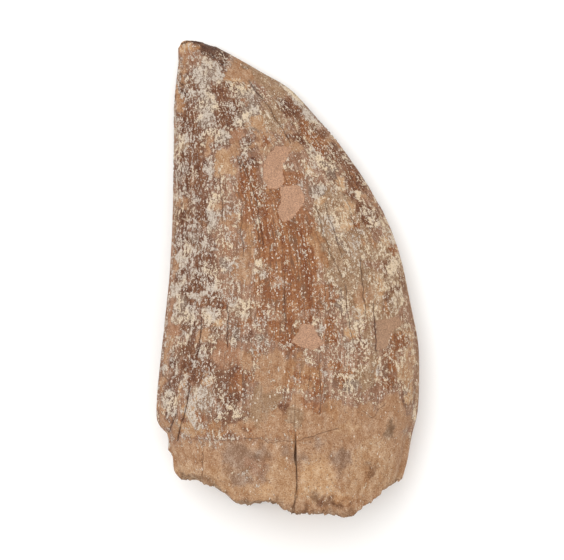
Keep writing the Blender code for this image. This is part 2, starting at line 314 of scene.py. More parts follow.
crack_way = way_to(places[:, :2], SPLIT)
crack_way[cheek < 0.5] = 9.0
crack_half_width = np.full(len(places), SPLIT_DARK)
crack_cut = np.zeros(len(places))
for *line, half_width, depth in CRACKS:
    way = way_to(lines_at, line)
    gap = np.hypot(*way.T)
    crack_cut = np.maximum(crack_cut, depth * (1 - ease(0.0, 2.2 * half_width, gap)))
    closer = (gap < np.hypot(*crack_way.T)) & (cheek > 0.5)
    crack_way[closer] = way[closer]
    crack_half_width[closer] = half_width
crack_cut *= ease(0.5, 0.8, cheek)

root = ease(-32.6, -34.6, y + 1.2 * wander(places, 6.0, 2.0) * (1 - cheek))
ridges = wander(np.stack((grain[:, 0] / 0.9, y / 16.0, z / 9.0), axis=1), 1.0, 30.0)
height = bumps(places, LUMPS)
height += (1 - root) * (RIDGE_HEIGHT * ridges + bumps(places, ENAMEL_GRAIN))
height += root * bumps(places, ROOT_GRAIN)
height -= FLAKED_DEPTH * ease(-0.1, 0.25, flaked) + crack_cut
height -= ENAMEL_STEP * ease(-33.6, -34.0, y) * cheek
height *= 1 - torn
height += torn * (bumps(places, TORN_LUMPS) - TORN_SUNK)
height += ease(-40.0, -45.0, y) * (bumps(places, RIM_GRAIN) - RIM_SUNK)

# All of it fades out where the tooth rests, and is lower near the thin cutting edges.
height *= ease(0.0, 1.2, z) * (0.35 + 0.65 * ease(0.2, 3.0, np.minimum(share, 1 - share) * BLADE_WIDTH))

# Denticles stand out from the two cutting edges, in the plane of the blade.
moved = places + normals * height[:, None]
for side, low_y, high_y in DENTICLE_STRETCHES:
    edge_x = edge_line(levels, front_x if side == "front" else back_x)
    reach = np.concatenate(([0.0], np.cumsum(np.hypot(np.diff(edge_x), np.diff(levels)))))
    at_edge = 1 - ease(0.15, 0.7, np.abs(x - edge_line(y, edge_x)))
    stretch = ease(low_y, low_y + 6.0, y) * (1 - ease(high_y - 2.0, high_y, y))
    worn = ease(-0.25, 0.15, wander(places, 3.5, 40.0))
    wave = np.cos(2 * math.pi * np.interp(y, levels, reach) / DENTICLE)
    out = DENTICLE_HEIGHT * at_edge * stretch * worn * (wave - 0.4)
    outward = normals.copy()
    outward[:, 2] = 0.0
    outward /= np.maximum(np.linalg.norm(outward, axis=1), 1e-6)[:, None]
    moved += outward * out[:, None]

# The torn rim is a row of small lobes with sharp notches between them.
strips = np.round((x - x.min()) / RIM_STRIP).astype(int)
lowest = np.array([y[strips == strip].min() for strip in range(strips.max() + 1)])
near_rim = (1 - ease(0.3, 3.0, y - lowest[strips])) * torn_reach
rim_at = np.stack((x, 0.3 * y, 0.5 * z), axis=1)
for size, depth in RIM_LOBES:
    moved[:, 1] += depth * near_rim * (0.65 - np.minimum(1.0, np.abs(wander(rim_at, size, 60.0)) / 0.3))
moved[:, 1:] = np.maximum(moved[:, 1:], (y.min(), 0.0))
for vertex, place in zip(skin.verts, moved):
    vertex.co = place * MM
bmesh.ops.recalc_face_normals(skin, faces=skin.faces)
surface = bpy.data.meshes.new("fossil_tooth")
skin.to_mesh(surface)
skin.free()
surface.shade_smooth()
surface.set_sharp_from_angle(angle=math.radians(70))
tooth.data = surface
bpy.data.meshes.remove(form)
bpy.data.meshes.remove(rounded)

# -----------------------------------------------------------------------------------------------------------
# The stains of the tooth: the ground colour of the mineral in each place, and how much of it a pale lime
# crust covers. Some patches are painted shade instead, on rims that turn away from the light and on the
# slanted break face. Each patch is a soft oval: stain, crust, middle x and y, half width and height, turn in
# degrees. A later patch lies over an earlier one.
# For each stain: its colour, how thickly white dots lie on it, and how sandy it is.
STAIN = {
    "umber": ("#553521", 0.08, 0.0),
    "chestnut": ("#6c442a", 0.45, 0.0),
    "plum": ("#724d38", 0.40, 0.0),
    "rust": ("#885732", 0.72, 0.0),
    "copper": ("#8f6140", 0.50, 0.0),
    "ochre": ("#9c7350", 0.15, 0.3),
    "clay": ("#916e57", 0.30, 0.2),
    "dove": ("#95785d", 0.15, 0.6),
    "tan": ("#a17d5f", 0.05, 0.8),
    "rose": ("#9a7358", 0.22, 0.6),
    "sand": ("#a88565", 0.04, 1.0),
    "straw": ("#b38f6c", 0.05, 1.0),
    "bone": ("#937861", 0.10, 0.5),
    "slate": ("#816c5c", 0.20, 0.3),
    "smoke": ("#8d715c", 0.06, 1.0),
    # painted shade: the colour that paints shade onto rims turned away from the light and onto the slanted
    # break face
    "painted_shade": ("#836851", 0.10, 1.0),
}
GROUND = "clay"
PATCHES = (
    # crown, broad fields
    ("plum", 0.40, -16.0, 36.0, 9.0, 9.0, 0),
    ("plum", 0.38, -18.5, 8.0, 6.5, 27.0, 0),
    ("clay", 0.31, -12.5, 8.0, 3.0, 16.0, 0),
    ("rust", 0.06, -0.5, 3.0, 6.0, 19.0, 4),
    ("dove", 0.21, 13.0, 5.0, 6.0, 15.0, 18),
    ("dove", 0.27, 20.5, 1.0, 4.5, 14.0, 14),
    # tip
    ("slate", 0.49, -17.4, 42.8, 2.4, 3.6, -18),
    ("bone", 0.76, -15.8, 44.2, 3.4, 0.8, -38),
    # A smooth band along the front edge below the tip; its darker grey-tan is partly painted shade, where the
    # surface turns away from the light.
    ("dove", 0.04, -6.6, 42.6, 5.6, 1.9, -30),
    ("dove", 0.08, -2.6, 40.0, 3.6, 1.8, -35),
    ("tan", 0.04, -10.6, 43.0, 2.6, 2.3, 0),
    ("straw", 0.10, -11.2, 41.0, 1.9, 0.6, -15),
    # painted shade: a dark band along the top edge of the tip, which turns away from the light.
    ("painted_shade", 0.05, -8.6, 45.2, 5.0, 0.5, -30),
    ("rose", 0.25, -21.7, 47.9, 2.0, 1.6, 0),
    ("straw", 0.30, -21.8, 48.4, 1.2, 0.8, 0),
    ("ochre", 0.04, -19.4, 48.6, 1.1, 1.0, 0),
    # painted shade: a dark line along the tip's top rim.
    ("umber", 0.00, -20.6, 50.2, 2.2, 0.6, -4),
    ("umber", 0.03, -16.8, 48.3, 2.7, 1.3, -22),
    ("umber", 0.15, -14.4, 46.9, 2.0, 1.4, -32),
    ("umber", 0.30, -13.7, 45.5, 1.1, 0.9, 0),
    ("tan", 0.06, -22.3, 43.8, 0.9, 3.4, 0),
    ("umber", 0.20, -22.4, 42.0, 0.5, 0.6, 0),
    ("umber", 0.25, -23.2, 39.2, 0.5, 0.8, 0),
    ("chestnut", 0.24, -20.8, 41.0, 0.8, 1.2, 0),
    ("ochre", 0.04, -22.7, 36.6, 1.1, 1.9, 0),
    ("tan", 0.10, -23.4, 32.6, 0.7, 1.8, 0),
    ("bone", 0.61, -22.8, 29.0, 1.0, 1.6, 0),
    ("chestnut", 0.24, -20.6, 38.2, 1.6, 0.8, 30),
    ("bone", 0.76, -19.8, 38.8, 2.6, 0.35, 32),
    ("slate", 0.59, -16.4, 36.6, 1.9, 3.4, 0),
    ("chestnut", 0.17, -13.8, 38.6, 1.2, 2.4, 0),
    ("chestnut", 0.20, -13.2, 33.6, 1.9, 1.8, 0),
    ("chestnut", 0.24, -11.6, 36.6, 0.8, 1.4, 0),
    ("chestnut", 0.22, -11.3, 33.2, 0.8, 1.6, 0),
    ("plum", 0.24, -10.2, 37.6, 0.7, 1.7, 18),
    ("slate", 0.55, -9.0, 38.6, 2.2, 1.2, -20),
    ("slate", 0.57, -7.6, 35.6, 2.8, 2.2, -30),
    ("rose", 0.10, -8.5, 37.2, 0.4, 0.9, -15),
    ("slate", 0.47, -9.0, 33.6, 1.9, 1.4, 0),
    ("chestnut", 0.22, -20.6, 33.0, 2.0, 2.6, 0),
    ("chestnut", 0.24, -19.4, 28.8, 1.3, 2.6, 0),
    ("slate", 0.61, -17.4, 32.8, 1.5, 1.8, 0),
    ("plum", 0.28, -16.6, 30.6, 2.2, 1.0, 0),
    ("slate", 0.55, -14.2, 29.6, 1.6, 1.6, 0),
    ("tan", 0.03, -16.9, 27.6, 0.8, 1.9, -18),
    ("dove", 0.47, -22.6, 27.4, 1.3, 1.4, 0),
    ("chestnut", 0.28, -19.6, 26.6, 1.6, 1.4, 0),
    ("chestnut", 0.20, -20.2, 23.8, 2.3, 2.4, 0),
    ("chestnut", 0.20, -19.6, 20.2, 2.6, 2.2, 0),
    ("chestnut", 0.18, -17.5, 14.2, 0.9, 2.4, 0),
    ("slate", 0.57, -22.8, 21.8, 1.1, 1.6, 0),
    ("sand", 0.12, -13.0, 24.2, 2.2, 2.8, 8),
    ("clay", 0.17, -11.8, 21.0, 1.8, 1.6, 0),
    ("bone", 0.66, -16.6, 22.4, 1.4, 0.9, 0),
    ("plum", 0.33, -17.6, 24.6, 0.6, 1.2, 0),
    ("rose", 0.04, -10.6, 29.6, 1.7, 2.4, -20),
    ("tan", 0.03, -11.0, 27.4, 1.3, 1.5, -20),
    ("plum", 0.36, -8.2, 28.2, 1.7, 1.9, 0),
    ("sand", 0.20, -5.6, 32.4, 2.3, 2.2, 0),
    ("tan", 0.22, -5.4, 29.0, 2.2, 2.4, 0),
    ("copper", 0.12, -5.2, 28.2, 0.9, 0.9, 0),
    ("slate", 0.27, -6.6, 31.4, 0.9, 0.7, 0),
    ("dove", 0.14, -2.2, 33.4, 1.9, 4.6, 24),
    ("tan", 0.06, 0.6, 28.6, 1.4, 3.4, 30),
    ("chestnut", 0.18, -7.6, 23.6, 2.2, 1.8, 0),
    ("rust", 0.17, -8.0, 18.6, 2.6, 5.4, 4),
    # front edge above the middle
    ("bone", 0.86, 1.2, 38.3, 3.6, 1.2, -45),
    ("chestnut", 0.10, 1.0, 35.4, 2.8, 1.7, -40),
    ("chestnut", 0.16, 3.4, 32.2, 3.2, 2.3, -40),
    ("chestnut", 0.24, -1.4, 35.9, 1.4, 1.4, 0),
    ("bone", 0.86, 4.7, 34.4, 2.6, 1.0, -48),
    ("chestnut", 0.22, 6.2, 30.6, 2.6, 1.6, -38),
    ("chestnut", 0.20, 3.0, 29.0, 2.6, 1.5, -30),
    ("bone", 0.86, 3.6, 28.7, 0.8, 0.4, -30),
    ("bone", 0.86, 5.6, 28.9, 0.8, 0.4, -30),
    ("chestnut", 0.16, 6.4, 27.8, 1.1, 1.1, 0),
    ("tan", 0.25, 8.4, 28.4, 0.9, 0.9, -20),
    ("ochre", 0.10, 7.9, 27.9, 0.4, 0.7, 0),
    ("umber", 0.10, 8.9, 27.2, 0.9, 0.7, -20),
    ("bone", 0.86, 6.6, 26.0, 2.2, 0.6, -38),
    ("slate", 0.52, 5.2, 26.6, 1.0, 0.7, 0),
    ("slate", 0.47, 8.4, 23.8, 1.9, 1.0, -50),
    ("bone", 0.86, 7.4, 24.2, 1.8, 0.4, -45),
    ("tan", 0.20, 11.0, 28.0, 0.5, 2.4, 42),
    ("chestnut", 0.17, 10.8, 24.6, 1.0, 3.6, 36),
    ("bone", 0.86, 12.4, 24.8, 0.6, 1.9, 33),
    ("dove", 0.32, 13.7, 23.4, 0.4, 2.4, 32),
    ("chestnut", 0.10, 14.6, 21.2, 1.8, 2.6, 35),
    ("chestnut", 0.17, 12.4, 20.6, 1.0, 2.4, 30),
    ("copper", 0.05, 14.6, 20.9, 0.3, 1.8, 28),
    ("chestnut", 0.18, 13.9, 17.6, 1.4, 1.4, 20),
    ("bone", 0.86, 14.2, 18.6, 1.0, 0.5, 0),
    ("bone", 0.86, 16.0, 17.4, 1.3, 1.2, 0),
    ("tan", 0.06, 17.7, 16.3, 1.2, 1.2, 20),
    ("clay", 0.10, 3.0, 24.6, 2.6, 2.0, 20),
    ("straw", 0.37, 4.3, 22.6, 0.8, 1.6, 28),
    ("copper", 0.06, 0.8, 20.8, 1.8, 1.0, 0),
    ("bone", 0.56, -0.4, 22.4, 0.8, 0.6, 0),
    ("slate", 0.49, 6.3, 18.6, 1.9, 1.5, 20),
    ("slate", 0.37, 8.6, 21.6, 1.2, 1.6, 30),
    ("straw", 0.34, 10.7, 19.4, 1.1, 1.9, 28),
    ("chestnut", 0.18, 9.4, 19.6, 0.4, 1.8, 30),
    ("clay", 0.15, 4.0, 17.0, 1.4, 1.6, 0),
    ("straw", 0.34, 8.0, 16.2, 1.3, 0.8, 0),
    # back edge, middle of the crown
    ("tan", 0.10, -22.4, 15.8, 1.9, 0.9, 0),
    ("dove", 0.32, -24.1, 12.0, 0.6, 4.6, 0),
    ("chestnut", 0.26, -21.8, 13.0, 2.0, 1.4, 0),
    ("chestnut", 0.17, -18.3, 12.6, 1.0, 2.2, -8),
    ("slate", 0.59, -16.2, 12.0, 1.2, 3.0, 0),
    ("slate", 0.59, -20.2, 8.6, 1.2, 0.9, 0),
    ("chestnut", 0.31, -21.4, 7.4, 1.2, 1.4, 0),
    ("bone", 0.86, -17.2, 7.0, 0.9, 1.4, 0),
    ("bone", 0.86, -19.8, 6.2, 1.6, 0.9, 0),
    ("bone", 0.86, -22.4, 3.2, 1.6, 1.5, 0),
    ("tan", 0.10, -24.4, 2.6, 0.5, 3.6, 0),
    ("chestnut", 0.22, -17.6, 3.2, 0.9, 2.0, 0),
    ("bone", 0.86, -19.1, 0.6, 0.7, 0.8, 0),
    ("bone", 0.86, -22.6, -0.9, 1.8, 0.7, 10),
    ("chestnut", 0.10, -19.8, -1.8, 3.2, 0.7, 26),
    ("chestnut", 0.24, -17.2, -0.8, 1.6, 1.0, 0),
    ("bone", 0.86, -18.6, -3.6, 1.5, 1.1, 0),
    ("bone", 0.81, -23.6, -3.6, 0.7, 3.0, 0),
    ("slate", 0.52, -21.4, -6.4, 1.6, 1.8, 0),
    ("bone", 0.86, -15.0, -2.0, 0.9, 1.6, 0),
    ("chestnut", 0.18, -18.0, -5.6, 2.2, 0.8, 0),
    ("rust", 0.03, -14.6, -6.0, 1.0, 1.5, 0),
    ("clay", 0.15, -14.2, -7.9, 1.0, 0.8, 0),
    ("bone", 0.86, -16.6, -8.0, 1.4, 1.4, 0),
    ("bone", 0.76, -23.0, -9.0, 0.9, 3.0, 0),
    ("rose", 0.06, -24.7, -10.0, 0.8, 5.2, 4),
    ("tan", 0.05, -25.6, -14.6, 0.8, 4.0, 5),
    ("chestnut", 0.29, -22.2, -11.6, 0.7, 1.4, 0),
    ("bone", 0.86, -21.2, -12.0, 0.8, 1.0, 0),
    ("chestnut", 0.31, -20.4, -10.4, 1.2, 0.8, 0),
    ("tan", 0.12, -16.8, -11.8, 1.8, 1.9, 0),
    ("straw", 0.42, -13.8, -9.5, 1.2, 0.8, 0),
    ("bone", 0.71, -14.4, -12.3, 0.7, 1.0, 0),
    ("chestnut", 0.22, -20.8, -15.2, 2.0, 1.6, 0),
    ("plum", 0.31, -16.4, -14.7, 1.3, 0.8, 0),
    ("rose", 0.03, -12.4, -15.6, 2.2, 2.6, 0),
    ("tan", 0.15, -14.4, 15.0, 1.0, 1.2, 0),
    ("tan", 0.08, -12.8, 12.2, 1.8, 1.2, 0),
    ("rose", 0.26, -12.0, 8.0, 1.2, 3.8, 0),
    ("slate", 0.49, -13.8, 3.0, 1.2, 2.0, 0),
    ("tan", 0.20, -11.0, 1.4, 1.0, 2.0, 0),
    ("copper", 0.05, -8.4, 13.0, 1.2, 2.2, 0),
    ("ochre", 0.05, -8.2, 7.6, 1.5, 4.0, 0),
    ("tan", 0.20, -9.6, 3.0, 0.9, 2.2, 0),
    ("tan", 0.12, -9.4, -1.0, 0.9, 3.4, 0),
    ("rust", 0.10, -7.2, 4.0, 0.9, 0.9, 0),
    ("bone", 0.76, -6.0, 1.9, 0.7, 1.6, 18),
    ("bone", 0.66, -6.8, 0.8, 1.2, 0.5, 10),
    ("clay", 0.17, -8.4, -3.2, 2.2, 1.7, 0),
    ("slate", 0.42, -6.4, -2.4, 0.9, 1.4, 0),
    ("bone", 0.54, -9.4, -6.9, 2.6, 1.5, 0),
    ("chestnut", 0.05, -9.2, -6.8, 0.25, 0.4, 0),
    ("chestnut", 0.05, -8.0, -7.0, 0.25, 0.4, 0),
    ("rust", 0.14, -9.6, -9.8, 1.6, 0.7, 0),
    ("slate", 0.35, -11.2, -11.4, 1.3, 0.9, 0),
    ("plum", 0.26, -8.4, -12.4, 1.4, 1.2, 0),
    ("bone", 0.66, -7.0, -9.6, 1.2, 0.5, 10),
    ("slate", 0.37, -6.4, -12.6, 1.2, 1.2, 0),
    ("tan", 0.06, -8.6, -16.6, 2.4, 1.4, 0),
    ("rust", 0.17, -6.4, -15.4, 1.4, 1.2, 0),
    ("bone", 0.76, -8.2, -15.8, 0.7, 0.5, 0),
    # centre of the crown
    ("copper", 0.03, -3.0, 13.0, 0.8, 4.0, 14),
    ("bone", 0.76, -5.8, 11.6, 0.6, 1.3, 0),
    ("bone", 0.86, -3.3, 6.6, 0.45, 0.7, 0),
    ("bone", 0.71, -3.8, 0.9, 1.6, 0.35, -5),
    ("rose", 0.30, -1.6, -1.4, 1.5, 1.3, -20),
    ("clay", 0.22, -4.6, -7.6, 1.2, 1.6, 0),
    ("rose", 0.38, -2.6, -8.4, 1.6, 1.3, 0),
    ("rust", 0.03, 0.6, -7.4, 0.9, 4.0, 0),
    ("bone", 0.71, -0.9, -8.8, 0.25, 2.0, 0),
    ("bone", 0.71, 1.7, -10.0, 0.3, 1.0, 0),
    ("rust", 0.05, 3.0, 0.0, 2.2, 6.0, 0),
    ("clay", 0.10, 2.6, -8.4, 1.2, 0.6, 0),
    ("copper", 0.06, 3.6, 12.6, 1.6, 2.4, 25),
    ("ochre", 0.03, 5.9, 7.6, 1.3, 3.4, 20),
    ("ochre", 0.04, 7.2, 4.0, 1.1, 2.6, 12),
    ("copper", 0.16, 7.4, -3.4, 2.6, 3.2, 0),
    ("rust", 0.20, -6.6, -1.6, 1.0, 2.6, 0),
    ("rust", 0.24, -5.8, -8.2, 1.0, 2.2, 0),
    ("rust", 0.06, 5.8, -6.6, 0.9, 1.6, 0),
    ("rust", 0.14, 8.6, -11.2, 1.5, 2.4, 14),
    # front half of the crown
    ("dove", 0.47, 8.6, 12.0, 1.4, 3.2, 28),
    ("straw", 0.40, 12.0, 12.6, 1.4, 3.0, 15),
    ("straw", 0.37, 13.2, 14.6, 1.0, 1.0, 0),
    ("rust", 0.22, 14.4, 11.4, 0.7, 1.2, 10),
    ("chestnut", 0.22, 15.0, 14.8, 0.9, 1.6, 20),
    ("bone", 0.86, 16.9, 12.6, 0.8, 1.9, 28),
    ("chestnut", 0.18, 18.3, 13.8, 0.9, 1.9, 18),
    ("bone", 0.86, 18.0, 12.4, 0.6, 0.8, 20),
    ("clay", 0.12, 18.8, 9.6, 1.6, 1.8, 20),
    ("ochre", 0.10, 17.4, 7.9, 0.5, 2.0, 25),
    ("straw", 0.32, 20.8, 7.6, 0.8, 2.0, 14),
    ("bone", 0.84, 22.3, 6.0, 0.9, 2.4, 16),
    ("slate", 0.52, 11.2, 7.6, 0.8, 1.8, 14),
    ("clay", 0.22, 18.0, 2.8, 2.2, 1.2, 0),
    ("bone", 0.86, 22.4, 1.6, 1.4, 2.0, 8),
    ("chestnut", 0.17, 20.5, 2.2, 0.45, 2.6, 10),
    ("chestnut", 0.17, 22.4, -2.3, 1.9, 0.45, 0),
    ("chestnut", 0.18, 24.0, -0.6, 0.4, 1.4, 8),
    ("chestnut", 0.18, 24.5, -3.2, 0.4, 0.5, 0),
    ("straw", 0.42, 18.8, -2.6, 1.0, 3.2, 0),
    ("tan", 0.06, 15.6, -4.0, 1.6, 1.6, 0),
    ("chestnut", 0.22, 21.0, -4.2, 0.7, 1.4, 10),
    ("rust", 0.17, 20.7, -6.8, 0.7, 1.2, 0),
    ("bone", 0.86, 23.4, -4.8, 0.9, 2.2, 18),
    ("clay", 0.22, 25.3, -6.0, 0.5, 3.0, 8),
    ("slate", 0.45, 11.0, -5.6, 0.9, 3.4, 8),
    ("dove", 0.25, 14.0, -6.4, 1.6, 1.6, 0),
    ("straw", 0.37, 16.0, -6.8, 1.0, 2.0, 0),
    ("dove", 0.10, 17.0, -12.6, 1.0, 3.4, 0),
    ("plum", 0.17, 15.6, -12.8, 0.7, 1.6, 0),
    ("bone", 0.58, 13.8, -9.6, 1.2, 1.8, 0),
    ("straw", 0.34, 12.6, -11.4, 1.3, 1.3, 0),
    ("bone", 0.61, 13.4, -13.8, 1.6, 1.4, 0),
    ("clay", 0.06, 24.4, -8.6, 1.2, 2.2, 10),
    ("rust", 0.17, 23.1, -13.4, 1.8, 2.3, -28),
    ("rust", 0.23, 22.0, -16.4, 1.4, 1.6, 0),
    ("sand", 0.26, 25.7, -12.8, 0.6, 2.2, 6),
    # foot of the crown, back half
    ("bone", 0.71, -26.0, -18.4, 0.9, 1.2, 0),
    ("plum", 0.36, -23.4, -18.0, 1.4, 1.2, 0),
    ("chestnut", 0.18, -19.0, -18.8, 3.4, 2.4, -8),
    ("chestnut", 0.17, -20.0, -21.8, 1.6, 1.0, 0),
    ("chestnut", 0.18, -12.4, -22.4, 3.6, 4.6, 0),
    ("rust", 0.12, -10.8, -21.4, 1.3, 2.8, 0),
    ("rust", 0.23, -7.6, -20.6, 2.2, 2.0, 0),
    ("rose", 0.04, -14.0, -17.6, 1.5, 1.4, 0),
    ("plum", 0.33, -23.4, -21.8, 1.6, 1.8, 0),
    ("plum", 0.36, -22.8, -24.2, 0.9, 0.8, 0),
    ("plum", 0.63, -24.6, -26.4, 2.3, 3.2, 0),
    ("bone", 0.71, -22.6, -26.2, 0.8, 1.6, 0),
    ("straw", 0.42, -21.7, -22.8, 0.5, 2.8, -4),
    ("tan", 0.08, -26.2, -22.4, 0.9, 2.2, 0),
    ("tan", 0.05, -26.9, -27.8, 0.6, 2.0, 0),
    ("tan", 0.05, -25.8, -30.4, 0.9, 1.2, 30),
    ("bone", 0.50, -18.0, -24.6, 1.9, 2.2, -10),
    ("straw", 0.37, -17.2, -21.6, 1.0, 0.9, 0),
    ("bone", 0.56, -17.8, -27.2, 1.6, 1.2, 0),
    ("ochre", 0.20, -20.2, -26.6, 0.9, 1.6, 0),
    ("copper", 0.17, -18.2, -28.6, 1.3, 1.6, 0),
    ("copper", 0.17, -21.0, -31.6, 1.9, 1.4, 0),
    ("copper", 0.15, -19.6, -33.0, 2.6, 0.8, 0),
    ("bone", 0.81, -19.2, -31.2, 1.2, 1.0, 0),
    ("ochre", 0.12, -15.6, -30.8, 1.6, 1.9, 0),
    ("tan", 0.06, -23.9, -31.6, 0.6, 2.0, -14),
    ("plum", 0.31, -13.4, -28.4, 2.0, 1.7, 0),
    ("plum", 0.22, -9.4, -29.0, 1.4, 0.9, 0),
    ("bone", 0.66, -11.0, -28.2, 0.8, 1.0, -15),
    ("chestnut", 0.17, -12.8, -30.6, 0.9, 1.0, 0),
    ("tan", 0.05, -7.6, -31.4, 6.0, 2.0, 0),
    ("sand", 0.16, -19.4, -32.0, 4.4, 1.1, 0),
    ("straw", 0.45, -20.0, -27.4, 1.3, 2.6, -8),
    ("ochre", 0.12, -15.2, -32.2, 2.4, 0.9, 0),
    ("chestnut", 0.18, -12.6, -33.4, 1.6, 0.6, 0),
    ("rust", 0.12, -8.0, -31.8, 1.3, 0.7, -25),
    ("dove", 0.03, -5.2, -27.0, 3.8, 4.2, 0),
    ("tan", 0.04, -2.6, -19.6, 4.2, 3.8, 0),
    ("chestnut", 0.20, -15.6, -5.4, 1.4, 2.2, 0),
    ("chestnut", 0.22, -17.5, 0.8, 1.5, 2.3, 0),
    ("chestnut", 0.24, -21.6, 5.2, 1.1, 1.6, 0),
    # front edge of the crown
    ("rust", 0.12, 3.7, 31.4, 1.6, 3.2, 38),
    ("rust", 0.16, 6.3, 28.4, 1.3, 2.4, 38),
    ("chestnut", 0.22, 12.0, 26.2, 1.0, 1.8, 35),
    ("chestnut", 0.20, 16.4, 19.8, 0.9, 2.6, 28),
    ("chestnut", 0.28, 16.6, 12.4, 1.1, 2.2, 20),
    ("rust", 0.33, 22.0, 6.0, 0.8, 2.2, 14),
    # foot of the crown, front half
    ("ochre", 0.05, 2.6, -20.0, 3.6, 4.0, 0),
    ("clay", 0.08, 2.2, -17.6, 0.7, 0.6, 0),
    ("rust", 0.06, 2.9, -19.2, 0.8, 0.4, -20),
    ("rust", 0.06, 4.2, -21.0, 0.9, 0.7, 0),
    ("clay", 0.10, 1.6, -22.2, 1.0, 1.2, 0),
    ("rust", 0.05, 6.2, -22.9, 0.9, 1.1, 0),
    ("clay", 0.14, 7.2, -17.0, 0.9, 2.4, 0),
    ("rust", 0.04, 8.8, -18.4, 0.9, 1.0, 0),
    ("copper", 0.15, 11.4, -18.9, 1.2, 1.4, 0),
    ("rust", 0.21, 12.0, -20.2, 1.9, 2.0, 0),
    ("dove", 0.24, 15.8, -20.8, 2.6, 2.6, 0),
    ("slate", 0.45, 13.2, -22.6, 1.9, 1.2, 0),
    ("dove", 0.10, 17.6, -17.4, 1.6, 2.0, 0),
    ("straw", 0.50, 18.9, -19.6, 0.4, 1.2, 0),
    ("rust", 0.21, 21.4, -18.2, 1.2, 2.0, 10),
    ("rust", 0.16, 21.4, -21.8, 0.9, 0.9, 0),
    ("sand", 0.20, 24.3, -20.2, 1.7, 2.4, 8),
    ("sand", 0.30, 25.4, -16.4, 0.8, 2.0, 5),
    ("clay", 0.06, 18.4, -24.6, 3.4, 1.8, 0),
    ("straw", 0.28, 25.8, -24.6, 0.7, 2.0, 0),
    ("dove", 0.02, 27.2, -20.6, 0.4, 6.0, 0),
    ("chestnut", 0.10, 24.4, -24.2, 0.4, 0.5, 0),
    ("umber", 0.02, 24.8, -26.0, 0.35, 0.6, 0),
    ("umber", 0.00, 25.5, -26.4, 0.25, 0.25, 0),
    ("tan", 0.02, 9.0, -30.2, 15.0, 4.2, 0),
    ("rust", 0.03, -0.4, -26.4, 0.9, 1.4, 0),
    ("tan", 0.03, 2.2, -25.6, 1.4, 1.2, 0),
    ("rust", 0.03, 3.8, -25.6, 0.6, 0.6, 0),
    ("rust", 0.03, 5.4, -27.6, 1.5, 1.0, -30),
    ("rust", 0.03, 7.8, -25.5, 0.4, 0.5, 0),
    ("ochre", 0.03, 8.8, -27.6, 1.2, 1.0, 0),
    ("ochre", 0.03, 9.4, -29.0, 0.7, 0.5, 0),
    ("dove", 0.03, 1.6, -29.0, 1.6, 1.9, 0),
    ("sand", 0.02, 12.4, -30.8, 2.6, 0.9, 15),
    ("tan", 0.02, 22.2, -29.0, 3.0, 4.6, 0),
    # painted shade: a small darker spot.
    ("painted_shade", 0.00, 21.5, -31.8, 0.8, 1.6, 0),
    ("rust", 0.10, 0.4, -31.4, 0.7, 0.6, 0),
    ("ochre", 0.03, 1.0, -32.6, 1.6, 1.1, 0),
    # dark flecks in the sandy foot of the crown
    ("chestnut", 0.03, -0.3, -26.8, 0.9, 1.4, 10),
    ("copper", 0.03, 5.6, -26.6, 2.2, 1.4, -15),
    ("rust", 0.03, 6.4, -28.4, 1.1, 0.7, 0),
    ("rust", 0.04, 3.2, -20.6, 1.5, 1.0, 0),
    ("rust", 0.05, 1.3, -22.6, 1.0, 0.7, 0),
    ("rust", 0.04, 5.4, -22.6, 0.9, 1.2, 0),
    # root
    ("tan", 0.03, 0.0, -42.5, 32.0, 8.8, 0),
    ("sand", 0.05, 18.4, -38.6, 6.2, 5.6, 0),
    ("tan", 0.05, -21.0, -37.2, 4.2, 3.2, 0),
    ("bone", 0.66, -17.1, -35.1, 0.5, 0.7, 0),
    ("sand", 0.03, -21.5, -40.6, 3.0, 1.3, 0),
    ("sand", 0.03, -13.6, -42.4, 4.2, 2.2, -20),
    ("smoke", 0.00, -10.6, -37.2, 3.6, 2.8, -20),
    ("smoke", 0.00, -6.4, -36.8, 2.0, 1.8, 0),
    ("slate", 0.00, -7.0, -36.6, 0.5, 0.5, 0),
    ("clay", 0.05, -7.0, -39.4, 3.0, 1.6, -20),
    ("smoke", 0.06, -9.6, -42.0, 3.2, 1.5, -20),
    ("bone", 0.46, -8.6, -40.8, 1.2, 0.5, -25),
    ("smoke", 0.00, -4.4, -40.6, 1.2, 0.9, 0),
    ("sand", 0.03, -5.0, -45.2, 5.4, 1.6, -10),
    ("straw", 0.03, -4.2, -43.6, 1.4, 1.4, 0),
    ("sand", 0.03, -1.6, -41.6, 2.2, 4.6, 0),
    ("smoke", 0.00, -0.2, -36.4, 1.2, 1.3, 0),
    ("smoke", 0.00, 2.8, -37.2, 1.3, 1.6, 0),
    ("sand", 0.03, 6.0, -37.6, 2.4, 1.8, 0),
    ("straw", 0.03, 6.0, -42.4, 3.8, 4.2, 0),
    ("smoke", 0.00, 6.4, -34.0, 1.2, 0.8, 0),
    ("smoke", 0.00, 10.9, -37.6, 1.9, 1.8, -20),
    ("smoke", 0.00, 12.0, -40.8, 1.2, 2.6, 24),
    ("dove", 0.00, 13.4, -43.6, 1.2, 1.3, 0),
    ("sand", 0.04, 15.6, -42.6, 4.2, 3.0, 0),
    ("ochre", 0.00, 17.0, -40.9, 1.5, 1.3, 0),
    ("umber", 0.00, 16.8, -40.6, 0.5, 0.3, 40),
    ("umber", 0.00, 17.9, -41.0, 0.4, 0.5, 0),
    ("umber", 0.00, 16.4, -38.9, 0.3, 0.3, 0),
    ("tan", 0.00, 23.6, -36.6, 2.0, 4.2, 8),
    ("straw", 0.10, 6.4, -45.2, 6.4, 1.6, -8),
    ("ochre", 0.00, 12.4, -46.9, 3.4, 1.0, 0),
    ("chestnut", 0.00, 12.0, -47.4, 1.6, 0.3, 0),
    ("umber", 0.00, 6.6, -46.5, 1.0, 0.5, -35),
    ("plum", 0.00, 7.6, -46.7, 0.9, 0.5, 0),
